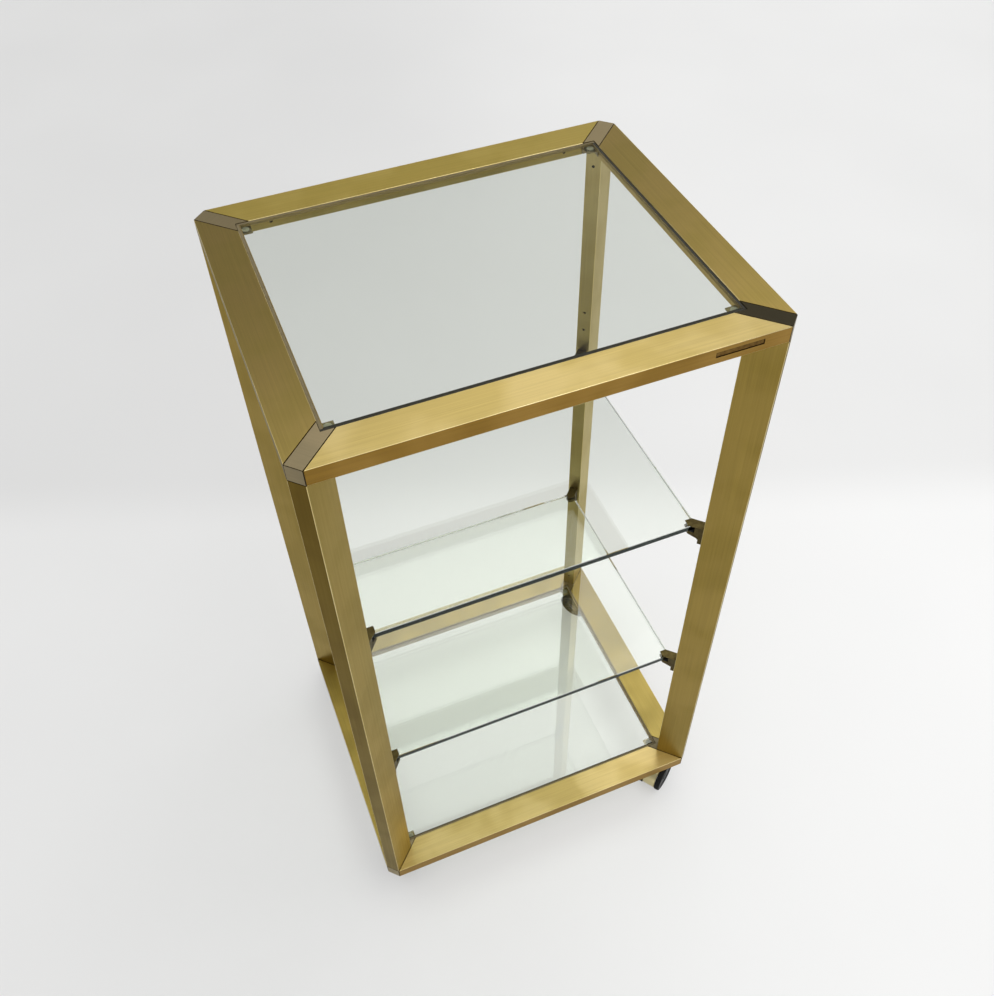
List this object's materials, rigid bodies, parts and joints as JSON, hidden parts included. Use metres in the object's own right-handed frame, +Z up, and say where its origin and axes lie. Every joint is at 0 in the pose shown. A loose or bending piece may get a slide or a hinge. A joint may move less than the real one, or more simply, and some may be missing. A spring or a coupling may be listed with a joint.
{
  "type": "dessert trolley",
  "caption": "Square glass and brushed brass serving trolley: mitred top and bottom frames, flat diagonal corner posts, glass shelves in corner clips, swivelling twin-wheel casters.",
  "frame": {"origin": "on the floor, under the middle of the trolley", "axes": "+Z up, -Y towards the front, +X to the right-hand side"},
  "size_m": [0.49, 0.4246, 0.913],
  "materials": {
    "brass": "fine lengthwise brushed, lacquered, slightly mottled",
    "zinc": "grey-taupe satin",
    "bronze": "dark satin bronze",
    "caster_brass": "satin",
    "glass": "clear float glass with dark green polished edges",
    "clear_plastic": "clear soft bumper",
    "steel": "zinc plated",
    "black_steel": "blackened",
    "rubber": "matt black",
    "wheel": "black, slightly worn tread"
  },
  "bodies": {
    "frame": {"upper_front_rail": "brass", "lower_front_rail": "brass", "upper_back_rail": "brass", "lower_back_rail": "brass", "upper_left_rail": "brass", "lower_left_rail": "brass", "upper_right_rail": "brass", "lower_right_rail": "brass", "upper_front_left_fitting": "zinc", "lower_front_left_fitting": "zinc", "front_left_post": "brass", "upper_shelf_front_left_clip": "bronze", "lower_shelf_front_left_clip": "bronze", "upper_front_right_fitting": "zinc", "lower_front_right_fitting": "zinc", "front_right_post": "brass", "upper_shelf_front_right_clip": "bronze", "lower_shelf_front_right_clip": "bronze", "upper_rear_left_fitting": "zinc", "lower_rear_left_fitting": "zinc", "rear_left_post": "brass", "upper_shelf_rear_left_clip": "bronze", "lower_shelf_rear_left_clip": "bronze", "upper_rear_right_fitting": "zinc", "lower_rear_right_fitting": "zinc", "rear_right_post": "brass", "upper_shelf_rear_right_clip": "bronze", "lower_shelf_rear_right_clip": "bronze", "top_glass": "glass", "upper_shelf_glass": "glass", "lower_shelf_glass": "glass", "bottom_glass": "glass", "glass_tabs": "bronze", "glass_bumpers": "clear_plastic", "tab_screws": "steel", "rail_set_screws": "black_steel", "post_set_screws": "black_steel", "shelf_clip_pads": "rubber", "shelf_clip_screws": "steel", "caster_sleeves": "steel"},
    "front_left_caster": {"front_left_caster_hood": "caster_brass", "front_left_caster_stem": "steel", "front_left_caster_axle": "steel"},
    "front_left_caster_left_wheel": {"front_left_caster_left_wheel": "wheel"},
    "front_left_caster_right_wheel": {"front_left_caster_right_wheel": "wheel"},
    "front_right_caster": {"front_right_caster_hood": "caster_brass", "front_right_caster_stem": "steel", "front_right_caster_axle": "steel"},
    "front_right_caster_left_wheel": {"front_right_caster_left_wheel": "wheel"},
    "front_right_caster_right_wheel": {"front_right_caster_right_wheel": "wheel"},
    "rear_left_caster": {"rear_left_caster_hood": "caster_brass", "rear_left_caster_stem": "steel", "rear_left_caster_axle": "steel"},
    "rear_left_caster_left_wheel": {"rear_left_caster_left_wheel": "wheel"},
    "rear_left_caster_right_wheel": {"rear_left_caster_right_wheel": "wheel"},
    "rear_right_caster": {"rear_right_caster_hood": "caster_brass", "rear_right_caster_stem": "steel", "rear_right_caster_axle": "steel"},
    "rear_right_caster_left_wheel": {"rear_right_caster_left_wheel": "wheel"},
    "rear_right_caster_right_wheel": {"rear_right_caster_right_wheel": "wheel"}
  },
  "joints": [
    {"name": "front_left_swivel", "type": "hinge", "parent": "frame", "child": "front_left_caster", "pos_m": [-0.21158, -0.17158, 0.058], "axis": [0, 0, 1], "continuous": true},
    {"name": "front_left_left_wheel_spin", "type": "hinge", "parent": "front_left_caster", "child": "front_left_caster_left_wheel", "pos_m": [-0.22548, -0.15358, 0.025], "axis": [-1, 0, 0], "continuous": true},
    {"name": "front_left_right_wheel_spin", "type": "hinge", "parent": "front_left_caster", "child": "front_left_caster_right_wheel", "pos_m": [-0.19768, -0.15358, 0.025], "axis": [-1, 0, 0], "continuous": true},
    {"name": "front_right_swivel", "type": "hinge", "parent": "frame", "child": "front_right_caster", "pos_m": [0.21158, -0.17158, 0.058], "axis": [0, 0, 1], "continuous": true},
    {"name": "front_right_left_wheel_spin", "type": "hinge", "parent": "front_right_caster", "child": "front_right_caster_left_wheel", "pos_m": [0.20481, -0.19329, 0.025], "axis": [0.5736, -0.8192, 0], "continuous": true},
    {"name": "front_right_right_wheel_spin", "type": "hinge", "parent": "front_right_caster", "child": "front_right_caster_right_wheel", "pos_m": [0.18886, -0.17052, 0.025], "axis": [0.5736, -0.8192, 0], "continuous": true},
    {"name": "rear_left_swivel", "type": "hinge", "parent": "frame", "child": "rear_left_caster", "pos_m": [-0.21158, 0.17158, 0.058], "axis": [0, 0, 1], "continuous": true},
    {"name": "rear_left_left_wheel_spin", "type": "hinge", "parent": "rear_left_caster", "child": "rear_left_caster_left_wheel", "pos_m": [-0.22548, 0.18958, 0.025], "axis": [-1, 0, 0], "continuous": true},
    {"name": "rear_left_right_wheel_spin", "type": "hinge", "parent": "rear_left_caster", "child": "rear_left_caster_right_wheel", "pos_m": [-0.19768, 0.18958, 0.025], "axis": [-1, 0, 0], "continuous": true},
    {"name": "rear_right_swivel", "type": "hinge", "parent": "frame", "child": "rear_right_caster", "pos_m": [0.21158, 0.17158, 0.058], "axis": [0, 0, 1], "continuous": true},
    {"name": "rear_right_left_wheel_spin", "type": "hinge", "parent": "rear_right_caster", "child": "rear_right_caster_left_wheel", "pos_m": [0.23329, 0.16481, 0.025], "axis": [0.8192, 0.5736, 0], "continuous": true},
    {"name": "rear_right_right_wheel_spin", "type": "hinge", "parent": "rear_right_caster", "child": "rear_right_caster_right_wheel", "pos_m": [0.21052, 0.14886, 0.025], "axis": [0.8192, 0.5736, 0], "continuous": true}
  ]
}
